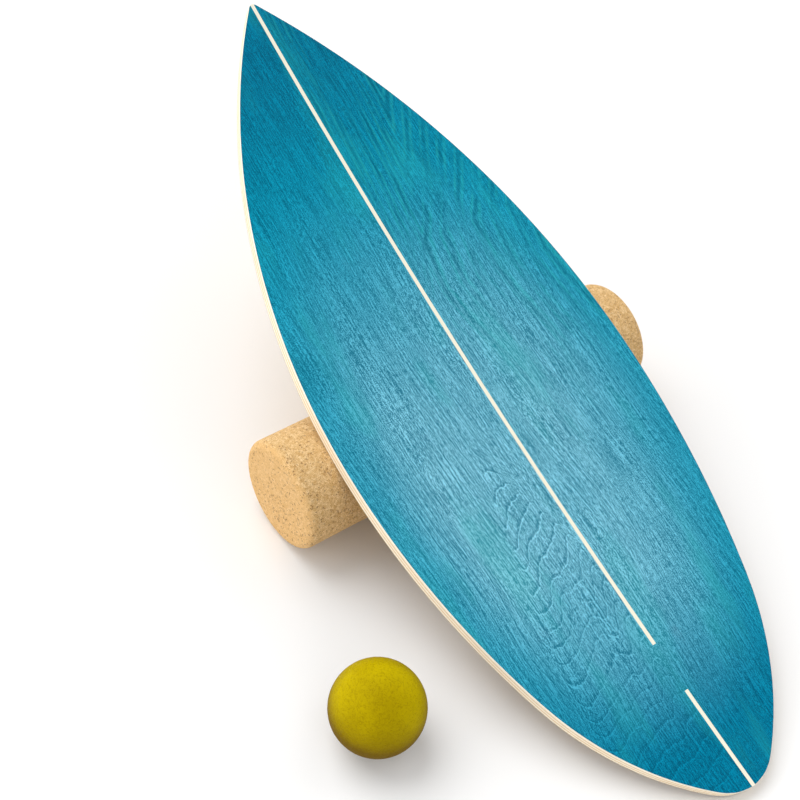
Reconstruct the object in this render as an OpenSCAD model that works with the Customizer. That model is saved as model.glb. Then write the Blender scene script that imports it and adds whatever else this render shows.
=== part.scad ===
// Balance board set: a surfboard-shaped rocker deck pressed from seven plies, a solid cork
// roller and a foam massage ball. The deck stands ready to mount, across the middle of the
// roller with its tail on the floor.
// +X runs from the nose to the tail, +Y to the right rail, +Z up. The origin is the point
// of the floor under the middle of the roller.

/* [Deck] */
// Length of the deck from nose to tail, along its chord
deck_l = 800; // [740:10:860]
// Width of the deck at its widest point
deck_w = 306; // [270:2:340]
// Distance from the nose to the widest point
widest_from_nose = 426; // [400:2:450]
// Radius of the lengthwise curve of the top face, which lifts both ends
rocker_r = 4000; // [3000:100:6000]
// Radius of the nose tip
nose_r = 5; // [4:1:14]
// Radius of the side between the widest point and the tail
quarter_r = 775; // [740:5:840]
// Distance from the nose to the start of the tail curve
tail_from_nose = 660; // [640:5:670]
// Radius of the tail curve
tail_r = 276; // [270:1:284]

/* [Plies] */
// Thickness of the stained veneer and of the bottom veneer
veneer_t = 1; // [0.8:0.1:1.5]
// Thickness of each of the five core plies
core_ply_t = 2; // [1.6:0.1:2.4]
// Thickness of each glue line
glue_t = 0.02; // [0.01:0.01:0.05]

/* [Stringer] */
// Width of the pale inlay along the middle
stringer_w = 3.5; // [3:0.5:6]
// Distance from the nose to the end of the front inlay
stringer_gap_from_nose = 666; // [640:2:680]
// Length of plain veneer between the two inlays
stringer_gap_l = 44; // [20:2:60]

/* [Stops] */
// Distance of each stop from the middle of the deck
stop_x = 285; // [260:5:300]
// Length of a stop across the deck
stop_l = 120; // [90:5:130]
// Width of a stop along the deck
stop_w = 20; // [16:1:26]
// Height of a stop below the deck
stop_h = 14; // [10:1:15]
// Radius of the rounded lower edges of a stop
stop_edge_r = 4; // [2:0.5:6]

/* [Screws] */
// Shank diameter of the wood screws
screw_d = 4; // [3.5:0.5:4.5]
// Head diameter of the wood screws
screw_head_d = 8; // [7.5:0.5:9]
// Distance of each screw from the middle of its stop
screw_y = 42; // [30:1:42]
// How far a screw reaches into the deck
screw_bite = 6; // [5.5:0.1:6.3]

/* [Roller] */
// Diameter of the cork roller
roller_d = 100; // [90:2:120]
// Length of the cork roller
roller_l = 380; // [340:5:400]
// Radius of the rounded ends
roller_edge_r = 7; // [4:1:10]

/* [Ball] */
// Diameter of the massage ball
ball_d = 78; // [60:1:80]
// Distance of the ball from the roller's axis, towards the tail
ball_x = 199; // [190:1:260]
// Distance of the ball from the middle of the set, on the left rail's side
ball_y = 228; // [226:1:300]

/* [Hidden] */
$fn = 96;
rocker_fn = 720;
past = 10;
touch_gap = 0.05;
fit_gap = 0.02;

// Heights above the lowest point of the underside
core_plies = 5;
deck_t = 2 * veneer_t + core_plies * core_ply_t;
under_r = rocker_r + deck_t;
half_l = deck_l / 2;
under_sag = under_r - sqrt(under_r * under_r - half_l * half_l);
prism_h = deck_t + under_sag + 2 * past;

// The tilt that puts the tail on the floor while the deck lies on the roller
roller_r = roller_d / 2;
tail_rise = roller_r + touch_gap + under_sag;
rest_tilt = atan(tail_rise / half_l) + asin(roller_r / norm([half_l, tail_rise]));

// Outline: each rail is three arcs, and a round tip closes each end
half_w = deck_w / 2;
widest_x = widest_from_nose - half_l;
nose_centre_x = nose_r - half_l;
nose_run = widest_x - nose_centre_x;
side_r = (nose_run * nose_run + half_w * half_w - nose_r * nose_r) / (2 * (half_w - nose_r));
side_centre = [widest_x, half_w - side_r];
nose_join_angle = atan2(-side_centre.y, -nose_run);
quarter_centre = [widest_x, half_w - quarter_r];
tail_join_angle = acos((tail_from_nose - widest_from_nose) / quarter_r);
tail_centre = quarter_centre
    + (quarter_r - tail_r) * [cos(tail_join_angle), sin(tail_join_angle)];
tail_run = half_l - tail_centre.x;
tip_r = (tail_r * tail_r - tail_run * tail_run - tail_centre.y * tail_centre.y)
    / (2 * (tail_r - tail_run));
tip_x = half_l - tip_r;
tip_join_angle = atan2(-tail_centre.y, tip_x - tail_centre.x);
rail_steps = 28;
quarter_steps = 14;
tip_steps = 5;

// Where the plain veneer between the two inlays starts and ends
gap_start_x = stringer_gap_from_nose - half_l;
gap_end_x = gap_start_x + stringer_gap_l;

// Screws
screw_r = screw_d / 2;
head_r = screw_head_d / 2;
head_h = head_r - screw_r;
point_l = 3;
cross_w = 0.9;
cross_l = 4.4;
cross_depth = 1.5;
stop_angle = asin(stop_x / under_r);

// Points along an arc, between two directions from its centre, without its last point
function arc(centre, r, from, to, steps) = [for (i = [0:steps - 1])
    let (a = from + (to - from) * i / steps) centre + r * [cos(a), sin(a)]];

// The right rail, from the nose tip to the tail tip
function rail() = concat(
    arc([nose_centre_x, 0], nose_r, 180, nose_join_angle, tip_steps),
    arc(side_centre, side_r, nose_join_angle, 90, rail_steps),
    arc(quarter_centre, quarter_r, 90, tail_join_angle, quarter_steps),
    arc(tail_centre, tail_r, tail_join_angle, tip_join_angle, quarter_steps),
    arc([tip_x, 0], tip_r, tip_join_angle, 0, tip_steps));

// The deck seen from above: the right rail out, and its mirror image back
module outline() {
    right = rail();
    left = [for (i = [len(right) - 1:-1:1]) [right[i].x, -right[i].y]];
    polygon(concat(right, [[half_l, 0]], left));
}

// A bent board of the deck's length and width, between two heights above the underside
module bent_board(z_from, z_to) {
    translate([0, 0, under_r]) rotate([90, 0, 0]) difference() {
        cylinder(r = under_r - z_from, h = 2 * deck_w, center = true, $fn = rocker_fn);
        cylinder(r = under_r - z_to, h = 3 * deck_w, center = true, $fn = rocker_fn);
    }
}

// One sheet of the deck, cut to the outline
module sheet(z_from, z_to) {
    intersection() {
        translate([0, 0, -past]) linear_extrude(height = prism_h) outline();
        bent_board(z_from + glue_t / 2, z_to - glue_t / 2);
    }
}

// Moves a deck piece from flat on the origin to its place on the roller
module on_roller() {
    translate([0, 0, roller_r]) rotate([0, rest_tilt, 0])
        translate([0, 0, roller_r + touch_gap]) children();
}

// Carries a piece along the underside, to the stop at one end of the deck
module at_stop(end) {
    translate([0, 0, under_r]) rotate([0, -end * stop_angle, 0])
        translate([0, 0, -under_r]) children();
}

// Places its children at the two screws of a stop
module each_screw() {
    for (side = [-1, 1]) translate([0, side * screw_y, 0]) children();
}

// The four screw holes in the lower plies
module pilot_holes() {
    for (end = [-1, 1]) at_stop(end) each_screw()
        translate([0, 0, -past]) cylinder(r = screw_r + fit_gap, h = past + screw_bite + fit_gap);
}

// The groove for one length of stringer
module stringer_strip(x_from, x_to, w) {
    translate([x_from, -w / 2, -past]) cube([x_to - x_from, w, prism_h]);
}

module top_veneer() {
    color("#1d86a3") on_roller() difference() {
        sheet(deck_t - veneer_t, deck_t);
        stringer_strip(-half_l - past, gap_start_x + fit_gap, stringer_w + 2 * fit_gap);
        stringer_strip(gap_end_x - fit_gap, half_l + past, stringer_w + 2 * fit_gap);
    }
}

module stringer(x_from, x_to) {
    color("#f3eed8") on_roller() intersection() {
        sheet(deck_t - veneer_t, deck_t);
        stringer_strip(x_from, x_to, stringer_w);
    }
}

module stringer_front() {
    stringer(-half_l - past, gap_start_x);
}

module stringer_tail() {
    stringer(gap_end_x, half_l + past);
}

// Core plies are counted from the top; screws reach the third and those below it
module core_ply(i) {
    z_top = deck_t - veneer_t - (i - 1) * core_ply_t;
    color(i % 2 == 1 ? "#f4e7c8" : "#e3bd86") on_roller() difference() {
        sheet(z_top - core_ply_t, z_top);
        if (z_top - core_ply_t < screw_bite) pilot_holes();
    }
}

module bottom_veneer() {
    color("#efdcb4") on_roller() difference() {
        sheet(0, veneer_t);
        pilot_holes();
    }
}

// Cross-section of a stop: flat against the deck, rounded along its lower edges
module stop_profile() {
    corner_x = stop_w / 2 - stop_edge_r;
    translate([-stop_w / 2, stop_edge_r]) square([stop_w, stop_h - stop_edge_r]);
    translate([-corner_x, 0]) square([2 * corner_x, stop_h]);
    for (side = [-1, 1]) translate([side * corner_x, stop_edge_r]) circle(r = stop_edge_r);
}

// A screw's outline, from its head on the stop's lower face to its point in the deck
module screw_profile(gap, reach) {
    polygon([[0, 0], [head_r + gap, 0], [screw_r + gap, head_h], [screw_r + gap, reach - point_l],
        [0, reach]]);
}

module stop(end) {
    color("#e8cf9c") on_roller() at_stop(end) difference() {
        translate([0, stop_l / 2, -stop_h - fit_gap]) rotate([90, 0, 0])
            linear_extrude(height = stop_l) stop_profile();
        each_screw() translate([0, 0, -stop_h - fit_gap])
            rotate_extrude() screw_profile(2 * fit_gap, stop_h + past);
    }
}

module nose_stop() {
    stop(-1);
}

module tail_stop() {
    stop(1);
}

module wood_screw() {
    difference() {
        rotate_extrude() screw_profile(0, stop_h + screw_bite);
        for (turn = [0, 90]) rotate([0, 0, turn])
            translate([-cross_l / 2, -cross_w / 2, -1]) cube([cross_l, cross_w, cross_depth + 1]);
    }
}

module stop_screws() {
    color("silver") on_roller() for (end = [-1, 1]) at_stop(end) each_screw()
        translate([0, 0, -stop_h]) wood_screw();
}

module cork_roller() {
    color("#deb882") translate([0, 0, roller_r]) rotate([90, 0, 0]) rotate_extrude() {
        translate([0, -roller_l / 2]) square([roller_r - roller_edge_r, roller_l]);
        translate([0, roller_edge_r - roller_l / 2])
            square([roller_r, roller_l - 2 * roller_edge_r]);
        for (end = [-1, 1])
            translate([roller_r - roller_edge_r, end * (roller_l / 2 - roller_edge_r)])
                intersection() {
                    circle(r = roller_edge_r);
                    translate([0, -roller_edge_r]) square([roller_edge_r, 2 * roller_edge_r]);
                }
    }
}

module massage_ball() {
    color("#d9c400") translate([ball_x, -ball_y, ball_d / 2]) sphere(d = ball_d);
}

top_veneer();
stringer_front();
stringer_tail();
core_ply(1);  // core_ply_1
core_ply(2);  // core_ply_2
core_ply(3);  // core_ply_3
core_ply(4);  // core_ply_4
core_ply(5);  // core_ply_5
bottom_veneer();
nose_stop();
tail_stop();
stop_screws();
cork_roller();
massage_ball();
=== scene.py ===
"""Looks for the balance board set: a stained plywood deck on a cork roller, and a foam ball.

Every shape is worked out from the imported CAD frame. Units are metres.
"""
import math

import bmesh
import bpy
import numpy as np
from mathutils import Matrix, Vector, noise


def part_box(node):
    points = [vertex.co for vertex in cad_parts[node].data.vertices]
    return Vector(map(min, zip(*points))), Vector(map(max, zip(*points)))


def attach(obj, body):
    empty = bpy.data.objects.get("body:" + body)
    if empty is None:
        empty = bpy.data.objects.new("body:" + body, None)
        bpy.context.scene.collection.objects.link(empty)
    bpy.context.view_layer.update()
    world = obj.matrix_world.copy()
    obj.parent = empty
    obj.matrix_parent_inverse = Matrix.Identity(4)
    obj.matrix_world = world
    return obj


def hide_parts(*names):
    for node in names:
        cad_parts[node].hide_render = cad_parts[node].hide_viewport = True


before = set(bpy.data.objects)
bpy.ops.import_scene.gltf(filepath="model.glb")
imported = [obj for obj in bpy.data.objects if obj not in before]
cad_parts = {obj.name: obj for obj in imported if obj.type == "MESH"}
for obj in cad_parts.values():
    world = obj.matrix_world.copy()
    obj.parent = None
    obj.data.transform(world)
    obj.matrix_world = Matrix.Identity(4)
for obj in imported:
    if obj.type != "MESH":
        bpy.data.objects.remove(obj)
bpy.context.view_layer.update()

MM = 0.001

# Camera: the photograph's viewing angle
CAMERA_AIM = Vector((-0.027, -0.043, 0.060))
CAMERA_AZIMUTH = 43.5
CAMERA_ELEVATION = 50.1
CAMERA_ROLL = 13.0
CAMERA_DISTANCE = 1.33
CAMERA_LENS = 67.5
CAMERA_SENSOR = 36.0

# Light from all round, and the backdrop's brightness; the floor's place and size
FILL_LIGHT = 0.54
BACKDROP_LIGHT = 1.0
FLOOR_HALF_SIDE = 40.0
FLOOR_DROP = 0.2 * MM

# Suns: width in degrees; name, direction towards the light and strength
SUN_ANGLE = 50.0
SUNS = (("key", (-0.60, -0.15, 0.80), 1.76),
        ("back", (-0.10, 0.75, 0.65), 0.40),
        ("front", (-0.45, -0.80, 0.22), 1.15),
        ("tail", (0.85, -0.15, 0.40), 0.45))

# Mesh density
RAIL_ROWS = 150
HALF_COLUMNS = 14
ROLLER_SEGMENTS = 240
ROLLER_STEP = 1.4 * MM
BALL_SUBDIVISIONS = 6
# Rows with a smaller half width than this are left out, so the tips have no slivers
TIP_HALF = 1.0 * MM
# Edges that turn by more than this stay sharp, in degrees
SHARP_ANGLE = 40
# The grooved sheet starts where the deck is this many times as wide as the groove
PAST_GROOVE = 1.05

# Bevels along the rails: sanded outer edges, and edges that meet the next sheet
SANDED = 0.35 * MM
PRESSED = 0.04 * MM

# Room round each stringer in its groove, and the rounding of the roller's ends
GROOVE_SLACK = 0.02 * MM
ROLLER_EDGE = 7 * MM
ROLLER_EDGE_POINTS = 9

# Relief in the meshes of the roller and the ball: depths, and noise scales per metre
CORK_GRAIN_DEPTH, CORK_GRAIN_SCALE = 0.06 * MM, 420
CORK_CELL_DEPTH, CORK_CELL_SCALE = 0.10 * MM, 230
CORK_PIT_DEPTH, CORK_PIT_SCALE, CORK_PIT_FROM = 1.1 * MM, 150, 0.52
CORK_PIT_SHIFT = Vector((7, 3, 1))
FOAM_SKIN_DEPTH, FOAM_SKIN_SCALE = 0.16 * MM, 520
FOAM_SWELL_DEPTH, FOAM_SWELL_SCALE = 0.05 * MM, 180

# Colours, linear
STAIN_END_DARK = (0.000, 0.094, 0.172)
STAIN_END_LIGHT = (0.000, 0.245, 0.410)
STAIN_CLEAR_DARK = (0.000, 0.148, 0.232)
STAIN_CLEAR_LIGHT = (0.004, 0.385, 0.570)
# The middle blues hold both a paler stain and a painted sheen
MID_STAIN_AND_SHEEN_DARK = (0.034, 0.195, 0.285)
MID_STAIN_AND_SHEEN_LIGHT = (0.275, 0.665, 0.820)
STAIN_FLAME = (0.000, 0.120, 0.175)
STAIN_GREEN = (0.020, 0.400, 0.400)
STAIN_SMUDGE = (0.095, 0.180, 0.270)
MAPLE = (0.960, 0.900, 0.760)
MAPLE_DARK = (0.860, 0.720, 0.520)
TAN = (0.860, 0.660, 0.410)
TAN_DARK = (0.700, 0.460, 0.230)
INLAY = (0.880, 0.850, 0.700)
INLAY_DARK = (0.800, 0.720, 0.530)
BIRCH = (0.640, 0.470, 0.270)
BIRCH_DARK = (0.480, 0.320, 0.160)
CORK_LIGHT = (0.880, 0.640, 0.345)
CORK_MAIN = (0.690, 0.440, 0.180)
CORK_DARK = (0.430, 0.225, 0.060)
CORK_SPECK = (0.240, 0.115, 0.040)
CORK_END = (0.800, 0.470, 0.180)
YELLOW = (0.560, 0.430, 0.000)
# Deep yellow for random tone and for painted shade on the ball
YELLOW_DEEP_AND_SHADE = (0.120, 0.058, 0.000)
ZINC = (0.620, 0.630, 0.640)
ZINC_DARK = (0.450, 0.460, 0.470)
FLOOR = (0.900, 0.900, 0.900)


# ---------------------------------------------------------------- the deck's own axes

def node_points(node):
    """The vertices of a CAD node, one row each."""
    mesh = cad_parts[node].data
    co = np.zeros(len(mesh.vertices) * 3, np.float32)
    mesh.vertices.foreach_get("co", co)
    return co.reshape(-1, 3).astype(float)


def fit_circle(x, z):
    """Centre and radius of the circle that fits the points best."""
    a = np.column_stack((2 * x, 2 * z, np.ones(len(x))))
    cx, cz, k = np.linalg.lstsq(a, x * x + z * z, rcond=None)[0]
    return cx, cz, math.sqrt(k + cx * cx + cz * cz)


class Deck:
    """The rocker's centre, the deck's axes and its outline, all measured on the CAD plies."""

    def __init__(self):
        p = node_points("core_ply_1")
        cx, cz, _ = fit_circle(p[:, 0], p[:, 2])
        r = np.hypot(p[:, 0] - cx, p[:, 2] - cz)
        low = p[r > r.mean()]
        cx, cz, _ = fit_circle(low[:, 0], low[:, 2])
        self.centre = Vector((cx, 0, cz))
        lo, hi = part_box("cork_roller")
        axis = (lo + hi) / 2
        self.up = (self.centre - Vector((axis.x, 0, axis.z))).normalized()
        self.along = Vector((self.up.z, 0, -self.up.x))
        self.rows = self.rail(low)

    def plan(self, points):
        """Distance along the deck from its middle, and distance across it."""
        d = points - np.array(self.centre)
        return np.column_stack((d @ np.array(self.along), points[:, 1]))

    def radii(self, node):
        """Distances of a ply's upper and lower faces from the rocker's centre."""
        p = node_points(node)
        r = np.hypot(p[:, 0] - self.centre.x, p[:, 2] - self.centre.z)
        return float(r.min()), float(r.max())

    def rail(self, points):
        """Rows of (along, half width) from nose to tail, smooth through the CAD outline's corners."""
        plan = self.plan(points)
        plan[:, 1] = np.abs(plan[:, 1])
        corners = upper_hull(plan)
        mirrored = np.vstack((corners[1:4][::-1] * (1, -1), corners, corners[-4:-1][::-1] * (1, -1)))
        step = np.hypot(*np.diff(mirrored, axis=0).T)
        s = np.concatenate(([0], np.cumsum(step)))
        first, last = s[3], s[-4]
        q = (1 - np.cos(np.linspace(0, math.pi, RAIL_ROWS))) / 2
        at = first + (last - first) * q
        rows = np.column_stack([hermite(s, mirrored[:, k], at) for k in (0, 1)])
        rows[0, 1] = rows[-1, 1] = 0
        return rows[(rows[:, 1] == 0) | (rows[:, 1] > TIP_HALF)]

    def outline(self, inset):
        """Rows of (along, half width) moved inwards, each followed by its place on the rail itself."""
        way = np.gradient(self.rows, axis=0)
        way /= np.linalg.norm(way, axis=1, keepdims=True)
        way[0] = (0, 1)
        way[-1] = (0, -1)
        inner = self.rows + inset * np.column_stack((way[:, 1], -way[:, 0]))
        return np.round(np.hstack((inner, self.rows)), 7)

    def place(self, along, across, radius):
        """A point of the deck in the frame, from its plan place and its distance from the centre."""
        a = math.asin(along / radius)
        p = self.centre + (radius * math.sin(a)) * self.along - (radius * math.cos(a)) * self.up
        return Vector((p.x, across, p.z))


def upper_hull(points):
    """The upper convex chain of 2-D points, from left to right."""
    chain = []
    for p in sorted(map(tuple, points)):
        while len(chain) > 1 and turn(chain[-2], chain[-1], p) >= -1e-12:
            chain.pop()
        chain.append(p)
    return np.array(chain)


def turn(a, b, c):
    """Positive when a, b, c turn left."""
    return (b[0] - a[0]) * (c[1] - a[1]) - (b[1] - a[1]) * (c[0] - a[0])


def hermite(s, v, at):
    """A smooth curve through values v at places s, read at other places."""
    slope = np.gradient(v, s)
    i = np.clip(np.searchsorted(s, at) - 1, 0, len(s) - 2)
    h = s[i + 1] - s[i]
    t = (at - s[i]) / h
    return ((2 * t**3 - 3 * t**2 + 1) * v[i] + (t**3 - 2 * t**2 + t) * h * slope[i]
            + (3 * t**2 - 2 * t**3) * v[i + 1] + (t**3 - t**2) * h * slope[i + 1])


deck = Deck()


# ---------------------------------------------------------------- mesh helpers

def new_object(name, bm, materials):
    """Turns a bmesh into a smooth-shaded object in the scene."""
    mesh = bpy.data.meshes.new(name)
    bm.to_mesh(mesh)
    bm.free()
    for material in materials:
        mesh.materials.append(material)
    mesh.shade_smooth()
    obj = bpy.data.objects.new(name, mesh)
    bpy.context.scene.collection.objects.link(obj)
    return obj


def dress(obj, body, slot, *nodes):
    """The piece moves with a body and stands for CAD nodes, which it hides. slot is not used."""
    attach(obj, body)
    if nodes:
        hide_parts(*nodes)


# ---------------------------------------------------------------- deck sheets

def row_columns(half, inner):
    """Places across one half of the deck, from the inner edge to the rail."""
    return np.linspace(inner, half, HALF_COLUMNS + 1)


def rows_with(rows, places):
    """The rows, with extra ones at the given places along the deck."""
    for place in places:
        rows = np.vstack((rows, [np.interp(place, rows[:, 0], column) for column in rows.T]))
        rows = rows[np.argsort(rows[:, 0])]
    return rows


def sheet_strips(rows, groove, gap):
    """Lists of rows for each strip of a sheet: (along, [places across])."""
    if not groove:
        return [[(x, np.concatenate((-row_columns(w, 0)[::-1], row_columns(w, 0)[1:])))
                 for x, w in rows[:, :2]]]
    halves = [(x, row_columns(w, groove)) for x, w in rows[:, :2] if w > groove * PAST_GROOVE]
    bridge = [(x, np.array([-groove, groove])) for x in rows[:, 0] if gap[0] <= x <= gap[1]]
    return [halves, [(x, -y[::-1]) for x, y in halves], bridge]


class Sheet:
    """A closed, bent slab of the deck in the making.

    drops are the heights of its upper and lower bevel. Face index 1 marks the sheet's cut edges.
    """

    def __init__(self, node, rows, drops):
        self.top, self.bottom = deck.radii(node)
        self.drops = drops
        self.rail = {(x, w): (rail_x, rail_w) for x, w, rail_x, rail_w in rows.tolist()}
        self.bm = bmesh.new()
        self.plan = self.bm.verts.layers.float_vector.new("plan")
        self.verts = {}
        self.spots = {}

    def vert(self, x, y, r):
        """The vertex at a place of the deck, made when it is first asked for."""
        spot = (float(x), float(y), r)
        if spot not in self.verts:
            vert = self.bm.verts.new(deck.place(*spot))
            half = np.interp(x, deck.rows[:, 0], deck.rows[:, 1])
            vert[self.plan] = (x, y, half - abs(y))
            self.verts[spot] = vert
            self.spots[vert] = spot
        return self.verts[spot]

    def face(self, corners, index):
        """A face through the corners, without the ones that fall together."""
        ring = list(dict.fromkeys(corners))
        if len(ring) > 2 and not self.bm.faces.get(ring):
            self.bm.faces.new(ring).material_index = index

    def lay(self, strip):
        """The upper and lower faces of one strip."""
        for (x0, ys0), (x1, ys1) in zip(strip, strip[1:]):
            for j in range(len(ys0) - 1):
                quad = [(x0, ys0[j]), (x1, ys1[j]), (x1, ys1[j + 1]), (x0, ys0[j + 1])]
                self.face([self.vert(x, y, self.top) for x, y in quad], 0)
                self.face([self.vert(x, y, self.bottom) for x, y in reversed(quad)], 0)

    def edge_chain(self, x, y):
        """The vertices at a place on the cut edge, from the upper face down to the lower one."""
        chain = [self.vert(x, y, self.top), self.vert(x, y, self.bottom)]
        if (x, abs(y)) in self.rail:
            rail_x, rail_w = self.rail[x, abs(y)]
            rail_y = math.copysign(rail_w, y)
            chain[1:1] = [self.vert(rail_x, rail_y, self.top + self.drops[0]),
                          self.vert(rail_x, rail_y, self.bottom - self.drops[1])]
        return chain

    def close(self):
        """The cut edges all round, with the bevels along the rails."""
        open_edges = [e.verts[:] for e in self.bm.edges if len(e.link_faces) == 1]
        for a, b in open_edges:
            if self.spots[a][2] != self.top:
                continue
            chain_a = self.edge_chain(*self.spots[a][:2])
            chain_b = self.edge_chain(*self.spots[b][:2])
            if len(chain_a) == len(chain_b):
                for i in range(len(chain_a) - 1):
                    self.face([chain_a[i], chain_b[i], chain_b[i + 1], chain_a[i + 1]], 1)
            else:
                self.face(chain_a + chain_b[::-1], 1)


def build_sheet(name, node, materials, drops, groove=0, gap=()):
    """One sheet of the deck. A groove is given by its half width and the gap between the stringers."""
    rows = rows_with(deck.outline(max(drops)), gap)
    sheet = Sheet(node, rows, drops)
    for strip in sheet_strips(rows, groove, gap):
        sheet.lay(strip)
    sheet.close()
    bmesh.ops.recalc_face_normals(sheet.bm, faces=sheet.bm.faces)
    for e in sheet.bm.edges:
        e.smooth = len(e.link_faces) == 2 and e.calc_face_angle(0) < math.radians(SHARP_ANGLE)
    return new_object(name, sheet.bm, materials)


# ---------------------------------------------------------------- round pieces

def lathe(name, profile, segments, place, materials):
    """A closed solid of revolution. profile is (distance along, radius), from pole to pole."""
    bm = bmesh.new()
    rings = []
    for along, radius in profile:
        if radius == 0:
            rings.append([bm.verts.new(place(along, 0, 0))])
            continue
        angles = [2 * math.pi * k / segments for k in range(segments)]
        points = [place(along, radius * math.cos(a), radius * math.sin(a)) for a in angles]
        rings.append([bm.verts.new(point) for point in points])
    for low, high in zip(rings, rings[1:]):
        for k in range(segments):
            n = (k + 1) % segments
            if len(low) == 1:
                bm.faces.new((low[0], high[n], high[k]))
            elif len(high) == 1:
                bm.faces.new((low[k], low[n], high[0]))
            else:
                bm.faces.new((low[k], low[n], high[n], high[k]))
    bmesh.ops.recalc_face_normals(bm, faces=bm.faces)
    return new_object(name, bm, materials)


def roller_profile(length, radius, edge):
    """A rounded cylinder's outline from pole to pole, with a point about every ROLLER_STEP."""
    half = length / 2
    caps = [(half, r) for r in np.arange(0, radius - edge, ROLLER_STEP)]
    bend = [(half - edge + edge * math.cos(a), radius - edge + edge * math.sin(a))
            for a in np.linspace(0, math.pi / 2, ROLLER_EDGE_POINTS)]
    end = caps + bend
    count = int((length - 2 * edge) / ROLLER_STEP)
    side = [(x, radius) for x in np.linspace(half - edge, edge - half, count)[1:-1]]
    return end + side + [(-x, r) for x, r in reversed(end)]


def roughen(obj, depth):
    """Moves each vertex inwards by depth(co), along its normal."""
    mesh = obj.data
    moves = [(v, v.normal.copy(), depth(v.co)) for v in mesh.vertices]
    for v, normal, d in moves:
        v.co -= normal * d
    mesh.update()


def cork_relief(co):
    """Granules of cork and small open pits."""
    grain = 0.5 + 0.5 * noise.noise(co * CORK_GRAIN_SCALE)
    cell = noise.voronoi(co * CORK_CELL_SCALE)[0][0]
    pit = max(0.0, noise.noise(co * CORK_PIT_SCALE + CORK_PIT_SHIFT) - CORK_PIT_FROM)
    return CORK_GRAIN_DEPTH * grain + CORK_CELL_DEPTH * cell + CORK_PIT_DEPTH * pit


def foam_relief(co):
    """The pebbled skin of the ball."""
    skin = 0.5 + 0.5 * noise.noise(co * FOAM_SKIN_SCALE)
    swell = 0.5 + 0.5 * noise.noise(co * FOAM_SWELL_SCALE)
    return FOAM_SKIN_DEPTH * skin + FOAM_SWELL_DEPTH * swell


# ---------------------------------------------------------------- node helpers

class Shader:
    """A short way to write a node tree."""

    def __init__(self, name):
        self.material = bpy.data.materials.new(name)
        self.material.use_nodes = True
        self.tree = self.material.node_tree
        self.bsdf = self.tree.nodes["Principled BSDF"]

    def link(self, value, socket):
        if isinstance(value, bpy.types.NodeSocket):
            self.tree.links.new(value, socket)
        else:
            socket.default_value = value

    def node(self, kind, out, inputs, **settings):
        n = self.tree.nodes.new(kind)
        for key, value in settings.items():
            setattr(n, key, value)
        for key, value in inputs.items():
            self.link(value, n.inputs[key])
        return n.outputs[out]

    def math(self, operation, a, b=0.0, c=0.0):
        return self.node("ShaderNodeMath", 0, {0: a, 1: b, 2: c}, operation=operation)

    def plus(self, a, b):
        return self.math("ADD", a, b)

    def times(self, a, b):
        return self.math("MULTIPLY", a, b)

    def noise(self, vector, scale=1.0, detail=2.0, roughness=0.5, distortion=0.0):
        inputs = {"Vector": vector, "Scale": scale, "Detail": detail, "Roughness": roughness,
                  "Distortion": distortion}
        return self.node("ShaderNodeTexNoise", "Fac", inputs)

    def cells(self, vector, scale, out="Distance", feature="F1", randomness=1.0):
        inputs = {"Vector": vector, "Scale": scale, "Randomness": randomness}
        return self.node("ShaderNodeTexVoronoi", out, inputs, feature=feature)

    def stretch(self, vector, scale, offset=(0, 0, 0), rotation=(0, 0, 0)):
        inputs = {"Vector": vector, "Scale": scale, "Location": offset, "Rotation": rotation}
        return self.node("ShaderNodeMapping", 0, inputs)

    def step(self, value, low, high, to_low=0.0, to_high=1.0):
        inputs = {0: value, 1: low, 2: high, 3: to_low, 4: to_high}
        return self.node("ShaderNodeMapRange", 0, inputs, interpolation_type="SMOOTHSTEP")

    def mix(self, share, a, b, blend="MIX"):
        n = self.tree.nodes.new("ShaderNodeMix")
        n.data_type = "RGBA"
        n.blend_type = blend
        for value, socket in ((share, n.inputs[0]), (a, n.inputs[6]), (b, n.inputs[7])):
            if isinstance(value, tuple):
                value = (*value, 1.0)
            self.link(value, socket)
        return n.outputs[2]

    def attribute(self, name):
        return self.node("ShaderNodeAttribute", "Vector", {}, attribute_name=name)

    def place(self):
        return self.node("ShaderNodeTexCoord", "Object", {})

    def split(self, vector):
        n = self.tree.nodes.new("ShaderNodeSeparateXYZ")
        self.link(vector, n.inputs[0])
        return n.outputs

    def join(self, x, y, z=0.0):
        return self.node("ShaderNodeCombineXYZ", 0, {0: x, 1: y, 2: z})

    def finish(self, colour, roughness, height=None, relief=0.1 * MM, strength=1.0, **extra):
        if isinstance(colour, tuple):
            colour = (*colour, 1.0)
        self.link(colour, self.bsdf.inputs["Base Color"])
        self.link(roughness, self.bsdf.inputs["Roughness"])
        for key, value in extra.items():
            self.link(value, self.bsdf.inputs[key.replace("_", " ")])
        if height is not None:
            normal = self.node("ShaderNodeBump", 0,
                               {"Strength": strength, "Distance": relief, "Height": height})
            self.link(normal, self.bsdf.inputs["Normal"])
        return self.material


def deck_plan(sh):
    """Deck coordinates for a CAD node: along, across and up, with the rest tilt taken out."""
    tilt = math.atan2(deck.up.x, deck.up.z)
    return sh.stretch(sh.place(), (1, 1, 1), rotation=(0, -tilt, 0))


# ---------------------------------------------------------------- wood

# The left half's flame: its middle, where it starts to open and its greatest half width
FLAME_LEFT = -0.042
FLAME_START = 0.058
FLAME_HALF = 0.050
FLAME_NOTCH = 0.11
# How softly it opens, how softly it reaches its width, and its turns at the middle and the flanks
FLAME_OPENS = 30 * MM
FLAME_FILLS = 20 * MM
FLAME_RIDGE = 3 * MM
FLAME_FLANK = 5 * MM
# The right half's figure: tongues towards the tail up to its waist, ovals beyond it
WAIST = -0.135
WAIST_SIDE = 0.031
WAIST_SLOPE = -0.30
OVAL_SIDE = 0.016
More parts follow.
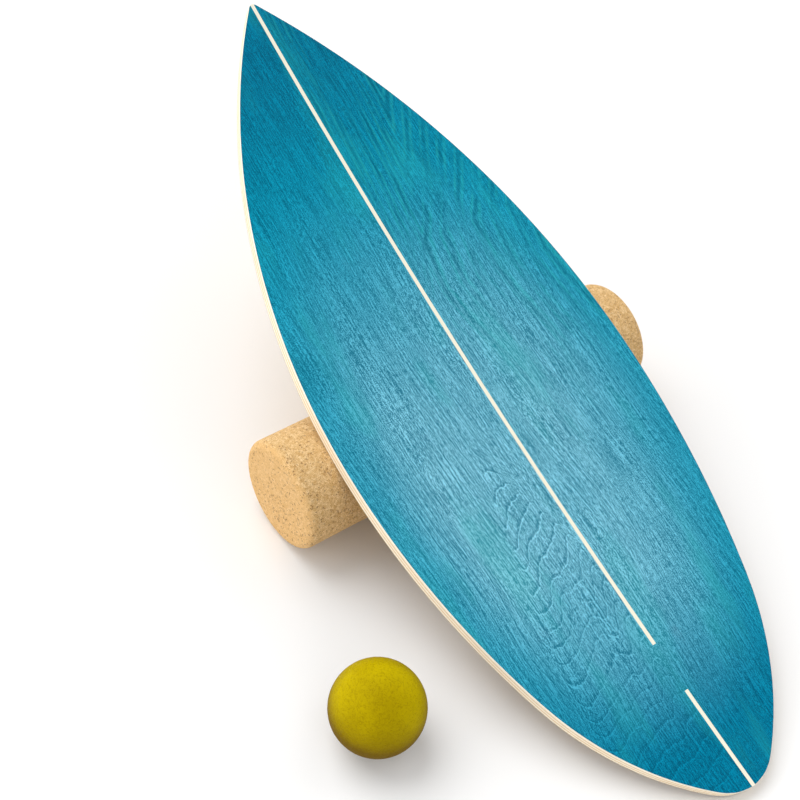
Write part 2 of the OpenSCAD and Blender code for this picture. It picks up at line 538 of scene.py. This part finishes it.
# Where the left and the right figure come in along the deck, and the blend between the halves
LEFT_OPEN = (-0.14, 0.10)
RIGHT_OPEN = (0.12, -0.12)
SIDE_BLEND = 3 * MM
# Distance between growth rings; on the right half, towards the stringer and towards the rail
RING_ALONG = 16 * MM
RING_ACROSS = 4.6 * MM
TONGUE_ALONG = 13 * MM
OVAL_ALONG = 24 * MM
TONGUE_INNER = 2.5 * MM
TONGUE_OUTER = 3.8 * MM
TONGUE_ROUNDING = 1.5
# Ring lines: place within a ring, half width and strength
RING_LIGHT = (0.61, 0.06, 0.95)
RING_DARK = (0.48, 0.15, -0.55)
# One broad flame for this many rings
BROAD_EVERY = 5
# The grain's slow wander across the deck
SWAY_SCALE = 4.0
SWAY_SEED = 3.7
SWAY_WIDTH = 40 * MM
# Where the paler blue (partly a painted sheen) and the clear blue come in and fade out along the deck
PALE_IN = (-0.24, 0.10)
PALE_OUT = (0.36, 0.15)
CLEAR_IN = (-0.37, -0.14)
CLEAR_OUT = (0.37, 0.20)
# The paler blue fades near the rail, and over this range of the right half
PALE_RIM = 70 * MM
PALE_SIDE = (0.01, 0.12)
# Brushed surface: the tone it varies about, and the contrast of its streaks, dashes and pebble
MEAN_TONE = 0.42
STREAK_CONTRAST = 2.6
DASH_CONTRAST = 3.0
PEBBLE_CONTRAST = 2.5
# The places in the log where the bare birch and the inlay are cut
BIRCH_CUT = (0.31, 0.02, 0.0)
INLAY_CUT = (0.05, 0.0, 0.0)
# Cork: granules per metre, large and small, and the grain inside them
CORK_BIG = 430.0
CORK_SMALL = 700.0
CORK_GRAIN = 1900.0
# How far the granules are bent, and the band near the roller's ends where the end colour comes in
GRANULE_BEND = (1.6 * MM, -1.2 * MM, 1.4 * MM)
END_BAND = (6 * MM, 1 * MM)
# How far away the floor still darkens the ball's colour with painted shade
SHADE_REACH = 200 * MM


def wood_sway(sh, x):
    """How far the grain wanders sideways along the deck."""
    wander = sh.noise(sh.join(sh.times(x, SWAY_SCALE), SWAY_SEED), detail=1.0)
    return sh.times(sh.plus(wander, -0.5), SWAY_WIDTH)


def tail_flame(sh, x, y):
    """Rings of the left half: straight strands that step across the flame where it opens."""
    v = sh.plus(y, -FLAME_LEFT)
    run = sh.math("SMOOTH_MAX", sh.plus(x, -FLAME_START), 0.0, FLAME_OPENS)
    half = sh.math("SMOOTH_MIN", sh.times(run, RING_ACROSS / RING_ALONG), FLAME_HALF, FLAME_FILLS)
    inside = sh.math("SMOOTH_MAX", v, sh.times(half, -1.0), FLAME_RIDGE)
    inside = sh.math("SMOOTH_MIN", inside, half, FLAME_FLANK)
    flank = sh.plus(v, sh.times(inside, -1.0 - FLAME_NOTCH))
    return sh.plus(sh.times(run, 1 / RING_ALONG), sh.times(flank, -1 / RING_ACROSS))


def nose_figure(sh, x, y):
    """Rings of the right half: tongues that point at the tail, then ovals that open towards it."""
    past_waist = sh.plus(x, -WAIST)
    side = sh.math("MAXIMUM", sh.plus(sh.times(past_waist, WAIST_SLOPE), WAIST_SIDE), OVAL_SIDE)
    v = sh.plus(y, sh.times(side, -1.0))
    arms = sh.math("MAXIMUM", sh.times(v, -1 / TONGUE_INNER), sh.times(v, 1 / TONGUE_OUTER))
    arms = sh.math("SMOOTH_MAX", arms, 0.0, TONGUE_ROUNDING)
    tongue = sh.times(sh.math("MINIMUM", past_waist, 0.0), 1 / TONGUE_ALONG)
    oval = sh.times(sh.math("MAXIMUM", past_waist, 0.0), -1 / OVAL_ALONG)
    return sh.plus(sh.plus(tongue, oval), arms)


def wood_rings(sh, x, y, middle):
    """A growth-ring count over the veneer, how far its figures show, and the drift that bends them."""
    flat = sh.join(x, y)
    side = sh.step(middle, -SIDE_BLEND, SIDE_BLEND)
    left = sh.plus(1.0, sh.times(side, -1.0))
    rings = sh.plus(sh.times(tail_flame(sh, x, y), left), sh.times(nose_figure(sh, x, y), side))
    drift = sh.noise(sh.stretch(flat, (3.6, 29.0, 1.0), (0.9, 0.2, 0)), detail=1.0, roughness=0.4)
    bends = ((drift, 4.2), (sh.noise(sh.join(sh.times(x, 15.0), 8.3), detail=1.0), 1.0),
             (sh.noise(sh.stretch(flat, (22.0, 60.0, 1.0)), detail=1.0), 0.7),
             (sh.noise(sh.stretch(flat, (170.0, 330.0, 1.0)), detail=2.0), 0.30))
    for bend, amount in bends:
        rings = sh.plus(rings, sh.times(sh.plus(bend, -0.5), amount))
    left_open = sh.times(sh.step(x, *LEFT_OPEN), left)
    right_open = sh.times(sh.step(x, *RIGHT_OPEN), side)
    return rings, left_open, right_open, drift


def ring_line(sh, phase, at, half):
    """1 on a ring line, fading to 0 on both sides of it."""
    return sh.step(sh.math("ABSOLUTE", sh.plus(phase, -at)), 0.0, half, 1.0, 0.0)


def stained_veneer():
    """Blue-stained, brushed veneer: flames, pores, blotches of stain, a matte lacquer and a painted
    sheen.
    """
    sh = Shader("stained_veneer")
    x, y_straight, rim = sh.split(sh.attribute("plan"))
    y = sh.plus(y_straight, wood_sway(sh, x))
    rings, left_open, right_open, drift = wood_rings(sh, x, y, y_straight)
    flat = sh.join(x, sh.plus(y, sh.times(drift, 0.020)))
    # Paler blue over the middle of the deck: partly a paler stain, partly a painted sheen
    pale = sh.times(sh.step(x, *PALE_IN), sh.step(x, *PALE_OUT))
    cloud = sh.noise(sh.stretch(flat, (5.0, 12.0, 1.0), (1.7, 2.2, 0)), detail=3.0)
    pale = sh.times(pale, sh.step(cloud, 0.25, 0.60, 0.80, 1.08))
    pale = sh.times(pale, sh.step(rim, 0.0, PALE_RIM, 0.22, 1.0))
    pale = sh.times(pale, sh.step(y_straight, *PALE_SIDE, 1.0, 0.60))
    clear = sh.times(sh.step(x, *CLEAR_IN), sh.step(x, *CLEAR_OUT))
    tone = stain_tone(sh, flat, rings, left_open, pale)
    colour = stain_colour(sh, tone, clear, pale)
    green = sh.noise(sh.stretch(flat, (8.0, 26.0, 1.0), (7.3, 5.1, 0)), detail=3.0)
    colour = sh.mix(sh.step(green, 0.50, 0.72, 0.0, 0.25), colour, STAIN_GREEN)
    smudge = sh.noise(sh.stretch(flat, (15.0, 26.0, 1.0), (2.4, 8.8, 0)), detail=2.0)
    colour = sh.mix(sh.times(sh.step(smudge, 0.66, 0.78, 0.0, 0.60), pale), colour, STAIN_SMUDGE)
    colour = broad_flame(sh, colour, flat, rings, right_open, pale)
    colour = sh.mix(sh.step(rim, 0.3 * MM, 1.8 * MM, 0.35, 0.0), colour, STAIN_END_DARK)
    worn = sh.times(sh.step(rim, 0.0, 0.5 * MM, 1.0, 0.0), sh.step(tone, 0.60, 0.80))
    colour = sh.mix(sh.times(worn, 0.5), colour, MAPLE)
    return sh.finish(colour, sh.step(tone, 0.2, 0.8, 0.60, 0.48), tone, 0.13 * MM, 0.65,
                     Specular_IOR_Level=0.10, Specular_Tint=(0.15, 0.85, 1.0, 1.0))


def stain_tone(sh, flat, rings, left_open, pale):
    """How light the stained wood is, from 0 to 1: streaks, dashes, pebble and ring lines together."""
    streak = sh.noise(sh.stretch(flat, (22.0, 800.0, 1.0)), detail=3.0, roughness=0.55)
    dash = sh.noise(sh.stretch(flat, (210.0, 1500.0, 1.0)), detail=2.0, roughness=0.6)
    pebble = sh.noise(sh.stretch(flat, (1000.0, 1300.0, 1.0)), detail=1.0)
    phase = sh.math("FRACT", rings)
    patch = sh.noise(sh.stretch(flat, (7.0, 20.0, 1.0), (3.1, 0.4, 0)))
    seen = sh.times(sh.step(patch, 0.34, 0.56, 0.5, 1.0), sh.step(left_open, 0.0, 0.9, 0.16, 1.0))
    seen = sh.times(seen, sh.step(sh.split(flat)[0], 0.20, 0.33, 1.0, 0.45))
    light, dark = (sh.times(ring_line(sh, phase, at, half), strength)
                   for at, half, strength in (RING_LIGHT, RING_DARK))
    lines = sh.plus(light, dark)
    rough = sh.plus(sh.times(sh.plus(streak, -0.5), STREAK_CONTRAST),
                    sh.times(sh.plus(dash, -0.5), DASH_CONTRAST))
    rough = sh.plus(rough, sh.times(sh.plus(pebble, -0.5), PEBBLE_CONTRAST))
    rough = sh.times(rough, sh.step(pale, 0.0, 0.6, 0.90, 1.35))
    tone = sh.plus(sh.plus(rough, sh.times(lines, seen)), MEAN_TONE)
    return sh.node("ShaderNodeClamp", 0, {0: tone})


def stain_colour(sh, tone, clear, pale):
    """Deep stain at the nose, clear blue after it, and over the deck's middle a paler blue, partly
    painted sheen.
    """
    dark = sh.mix(pale, sh.mix(clear, STAIN_END_DARK, STAIN_CLEAR_DARK), MID_STAIN_AND_SHEEN_DARK)
    light = sh.mix(pale, sh.mix(clear, STAIN_END_LIGHT, STAIN_CLEAR_LIGHT), MID_STAIN_AND_SHEEN_LIGHT)
    return sh.mix(tone, dark, light)


def broad_flame(sh, colour, flat, rings, right_open, pale):
    """The soft, wide flame on the nose's right half: dark lines with pale green edges."""
    wide = sh.math("FRACT", sh.plus(sh.times(rings, 1 / BROAD_EVERY), 0.35))
    brushed = sh.noise(sh.stretch(flat, (30.0, 260.0, 1.0)), detail=2.0)
    share = sh.times(right_open, sh.step(brushed, 0.30, 0.60, 0.25, 1.0))
    faint = sh.noise(sh.stretch(flat, (9.0, 30.0, 1.0), (4.4, 6.1, 0)), detail=2.0)
    share = sh.times(share, sh.step(faint, 0.36, 0.60, 0.15, 1.0))
    share = sh.times(share, sh.step(pale, 0.0, 0.8, 1.0, 0.55))
    edge = sh.plus(ring_line(sh, wide, 0.72, 0.16), ring_line(sh, wide, 0.30, 0.12))
    colour = sh.mix(sh.times(ring_line(sh, wide, 0.50, 0.18), sh.times(share, 0.65)), colour, STAIN_FLAME)
    return sh.mix(sh.times(edge, sh.times(share, 0.42)), colour, STAIN_GREEN)


def ply_edge(name, main, accent, end_grain):
    """The sanded edge of a ply: long streaks where its grain runs lengthwise, dots where it ends."""
    sh = Shader(name)
    plan = deck_plan(sh)
    scale = (700.0, 700.0, 900.0) if end_grain else (45.0, 45.0, 2600.0)
    streak = sh.noise(sh.stretch(plan, scale), detail=3.0, roughness=0.6)
    patch = sh.noise(sh.stretch(plan, (22.0, 22.0, 60.0)), detail=2.0)
    colour = sh.mix(sh.step(streak, 0.38, 0.68, 0.0, 0.45), main, accent)
    colour = sh.mix(sh.step(patch, 0.45, 0.70, 0.0, 0.25), colour, accent)
    return sh.finish(colour, sh.step(streak, 0.3, 0.7, 0.60, 0.75), streak, 0.15 * MM, 0.6,
                     Specular_IOR_Level=0.3)


def plain_wood(name, main, accent, cut, ring_share=0.45):
    """Clear-lacquered pale wood with soft rings and short flecks along the deck."""
    sh = Shader(name)
    place = sh.stretch(deck_plan(sh), (1, 1, 1), cut)
    x, y, z = sh.split(place)
    flat = sh.join(x, y, z)
    rings = sh.math("FRACT", wood_rings(sh, x, sh.plus(y, wood_sway(sh, x)), y)[0])
    line = sh.step(sh.math("ABSOLUTE", sh.plus(rings, -0.5)), 0.0, 0.22, 1.0, 0.0)
    fibre = sh.noise(sh.stretch(flat, (90.0, 1000.0, 1000.0)), detail=3.0, roughness=0.6)
    fleck = sh.noise(sh.stretch(flat, (260.0, 1400.0, 1400.0)), detail=1.0)
    colour = sh.mix(sh.times(line, ring_share), main, accent)
    colour = sh.mix(sh.step(fibre, 0.35, 0.70, 0.0, 0.40), colour, accent)
    colour = sh.mix(sh.step(fleck, 0.66, 0.74, 0.0, 0.45), colour, accent)
    return sh.finish(colour, sh.step(fibre, 0.3, 0.7, 0.42, 0.58), fibre, 0.12 * MM, 0.5,
                     Specular_IOR_Level=0.35)


# ---------------------------------------------------------------- cork, foam, steel, floor

def cork(half_length):
    """Agglomerated cork: packed granules of many tones, dark bark specks and small pits."""
    sh = Shader("cork")
    place = sh.place()
    warp = sh.noise(place, scale=420.0, detail=2.0)
    bend = sh.join(*(sh.times(warp, amount) for amount in GRANULE_BEND))
    bent = sh.node("ShaderNodeVectorMath", 0, {0: place, 1: bend}, operation="ADD")
    big = sh.split(sh.cells(bent, CORK_BIG, out="Color"))
    small = sh.split(sh.cells(bent, CORK_SMALL, out="Color"))
    seam = sh.cells(bent, CORK_BIG, feature="DISTANCE_TO_EDGE")
    grain = sh.noise(place, scale=CORK_GRAIN, detail=2.0)
    cloud = sh.noise(place, scale=22.0, detail=3.0)
    colour = sh.mix(sh.step(big[0], 0.15, 0.95), CORK_MAIN, CORK_LIGHT)
    colour = sh.mix(sh.step(small[1], 0.55, 1.0, 0.0, 0.50), colour, CORK_LIGHT)
    colour = sh.mix(sh.step(small[0], 0.62, 1.0, 0.0, 0.60), colour, CORK_DARK)
    colour = sh.mix(sh.step(grain, 0.44, 0.66, 0.0, 0.80), colour, CORK_DARK)
    colour = sh.mix(sh.step(grain, 0.50, 0.34, 0.0, 0.60), colour, CORK_LIGHT)
    colour = sh.mix(sh.step(cloud, 0.40, 0.70, 0.0, 0.25), colour, CORK_MAIN)
    colour = sh.mix(sh.step(seam, 0.0, 0.06, 0.25, 0.0), colour, CORK_DARK)
    across = sh.math("ABSOLUTE", sh.split(place)[1])
    end = sh.step(across, half_length - END_BAND[0], half_length - END_BAND[1])
    colour = sh.mix(sh.times(end, 0.40), colour, CORK_END)
    speck = sh.times(sh.step(small[2], 0.90, 0.94), sh.step(grain, 0.40, 0.52))
    colour = sh.mix(sh.times(speck, 0.75), colour, CORK_SPECK)
    height = sh.plus(sh.times(sh.step(seam, 0.0, 0.10), 0.4), sh.times(grain, 0.5))
    height = sh.plus(height, sh.times(speck, -0.8))
    return sh.finish(colour, sh.step(grain, 0.3, 0.7, 0.88, 0.76), height, 0.30 * MM, 0.7,
                     Specular_IOR_Level=0.2)


def foam():
    """Matte yellow foam rubber with a fine wrinkled skin, with painted shade: darker in creases, near the
    floor and facing the camera.
    """
    sh = Shader("yellow_foam")
    place = sh.place()
    skin = sh.noise(sh.stretch(place, (1.0, 1.0, 1.8)), scale=460.0, detail=2.0, roughness=0.6,
                    distortion=1.2)
    cloud = sh.noise(place, scale=35.0, detail=2.0)
    colour = sh.mix(sh.step(cloud, 0.35, 0.70, 0.0, 0.20), YELLOW, YELLOW_DEEP_AND_SHADE)
    # Painted shade in the creases of the wrinkled skin
    colour = sh.mix(sh.step(skin, 0.54, 0.34, 0.0, 0.28), colour, YELLOW_DEEP_AND_SHADE)
    # Painted shade: the colour darkens where the floor is near, from ambient occlusion
    open_air = sh.node("ShaderNodeAmbientOcclusion", "AO", {"Distance": SHADE_REACH})
    colour = sh.mix(sh.step(open_air, 1.0, 0.56, 0.0, 0.88), colour, YELLOW_DEEP_AND_SHADE)
    # Painted shade where the surface faces the camera, so the rim looks lit as a painted sheen
    facing = sh.node("ShaderNodeLayerWeight", "Facing", {"Blend": 0.5})
    colour = sh.mix(sh.step(facing, 0.0, 0.50, 0.25, 0.0), colour, YELLOW_DEEP_AND_SHADE)
    return sh.finish(colour, sh.step(skin, 0.3, 0.7, 0.62, 0.50), skin, 0.80 * MM, 0.8,
                     Specular_IOR_Level=0.03)


def zinc():
    """Zinc-plated steel with turning marks."""
    sh = Shader("zinc_steel")
    marks = sh.noise(sh.place(), scale=900.0, detail=2.0)
    colour = sh.mix(sh.step(marks, 0.35, 0.70), ZINC, ZINC_DARK)
    return sh.finish(colour, sh.step(marks, 0.3, 0.7, 0.28, 0.45), marks, 0.03 * MM, 0.5, Metallic=1.0)


def floor_material():
    """Pale, plain studio floor."""
    sh = Shader("studio_floor")
    return sh.finish(FLOOR, 0.9, Specular_IOR_Level=0.0)


# ---------------------------------------------------------------- build the set

def build_deck():
    """All plies of the deck, the stringers, the stops and their screws."""
    maple = ply_edge("ply_long_grain", MAPLE, MAPLE_DARK, False)
    tan = ply_edge("ply_end_grain", TAN, TAN_DARK, True)
    birch = plain_wood("bare_birch", BIRCH, BIRCH_DARK, BIRCH_CUT)
    inlay = plain_wood("pale_inlay", INLAY, INLAY_DARK, INLAY_CUT, ring_share=0.2)
    front = deck.plan(node_points("stringer_front"))
    tail = deck.plan(node_points("stringer_tail"))
    groove = front[:, 1].max() + GROOVE_SLACK
    gap = (front[:, 0].max() + GROOVE_SLACK, tail[:, 0].min() - GROOVE_SLACK)
    top = build_sheet("stained_top", "top_veneer", [stained_veneer(), maple], (SANDED, PRESSED),
                      groove, gap)
    dress(top, "deck", "stained_veneer", "top_veneer")
    for i in range(1, 6):
        node = f"core_ply_{i}"
        slot, material = ("ply_long_grain", maple) if i % 2 else ("ply_end_grain", tan)
        ply = build_sheet(f"ply_{i}", node, [material, material], (PRESSED, PRESSED))
        dress(ply, "deck", slot, node)
    under = build_sheet("underside", "bottom_veneer", [birch, birch], (PRESSED, SANDED))
    dress(under, "deck", "bare_birch", "bottom_veneer")
    for node, material in (("stringer_front", inlay), ("stringer_tail", inlay), ("nose_stop", birch),
                           ("tail_stop", birch), ("stop_screws", zinc())):
        paint(node, material)


def paint(node, material):
    """Gives a CAD node its finish."""
    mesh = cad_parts[node].data
    mesh.materials.clear()
    mesh.materials.append(material)


def build_roller():
    """The cork roller, with its granules in the mesh."""
    lo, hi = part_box("cork_roller")
    centre = (lo + hi) / 2
    radius = (hi.z - lo.z) / 2

    def place(along, a, b):
        return centre + Vector((a, along, b))

    profile = roller_profile(hi.y - lo.y, radius, ROLLER_EDGE)
    roller = lathe("cork_cylinder", profile, ROLLER_SEGMENTS, place, [cork((hi.y - lo.y) / 2)])
    roughen(roller, cork_relief)
    dress(roller, "roller", "cork", "cork_roller")


def build_ball():
    """The massage ball, with its skin in the mesh."""
    lo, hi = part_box("massage_ball")
    centre = (lo + hi) / 2
    bm = bmesh.new()
    bmesh.ops.create_icosphere(bm, subdivisions=BALL_SUBDIVISIONS, radius=(hi.x - lo.x) / 2)
    bmesh.ops.translate(bm, vec=centre, verts=bm.verts)
    ball = new_object("foam_ball", bm, [foam()])
    roughen(ball, foam_relief)
    dress(ball, "ball", "yellow_foam", "massage_ball")


def build_stage():
    """Floor, soft studio light and the camera."""
    bm = bmesh.new()
    bmesh.ops.create_grid(bm, x_segments=1, y_segments=1, size=FLOOR_HALF_SIDE)
    floor = new_object("floor", bm, [floor_material()])
    floor.location.z = -FLOOR_DROP
    build_world()
    for sun in SUNS:
        add_sun(*sun)
    build_camera()


def build_camera():
    """The camera, at the photograph's viewing angle."""
    camera = bpy.data.objects.new("camera", bpy.data.cameras.new("camera"))
    bpy.context.scene.collection.objects.link(camera)
    camera.data.lens = CAMERA_LENS
    camera.data.sensor_width = CAMERA_SENSOR
    a, e = math.radians(CAMERA_AZIMUTH), math.radians(CAMERA_ELEVATION)
    back = Vector((math.sin(a) * math.cos(e), -math.cos(a) * math.cos(e), math.sin(e)))
    level = (-back).to_track_quat("-Z", "Y").to_matrix().to_4x4()
    roll = Matrix.Rotation(math.radians(CAMERA_ROLL), 4, "Z")
    camera.matrix_world = Matrix.Translation(CAMERA_AIM + back * CAMERA_DISTANCE) @ level @ roll
    bpy.context.scene.camera = camera
    bpy.context.scene.view_settings.view_transform = "Standard"


def build_world():
    """Even studio fill. The camera sees it as a plain pale backdrop."""
    world = bpy.data.worlds.new("studio")
    bpy.context.scene.world = world
    world.use_nodes = True
    background = world.node_tree.nodes["Background"]
    path = world.node_tree.nodes.new("ShaderNodeLightPath")
    level = world.node_tree.nodes.new("ShaderNodeMapRange")
    level.inputs["To Min"].default_value = FILL_LIGHT
    level.inputs["To Max"].default_value = BACKDROP_LIGHT
    world.node_tree.links.new(path.outputs["Is Camera Ray"], level.inputs["Value"])
    world.node_tree.links.new(level.outputs["Result"], background.inputs["Strength"])
    background.inputs["Color"].default_value = (1, 1, 1, 1)


def add_sun(name, towards, strength):
    """A wide, soft light that falls evenly on the whole floor."""
    data = bpy.data.lights.new(name, "SUN")
    data.energy = strength
    data.angle = math.radians(SUN_ANGLE)
    light = bpy.data.objects.new(name, data)
    bpy.context.scene.collection.objects.link(light)
    light.rotation_euler = Vector(towards).to_track_quat("Z", "Y").to_euler()


build_deck()
build_roller()
build_ball()
build_stage()
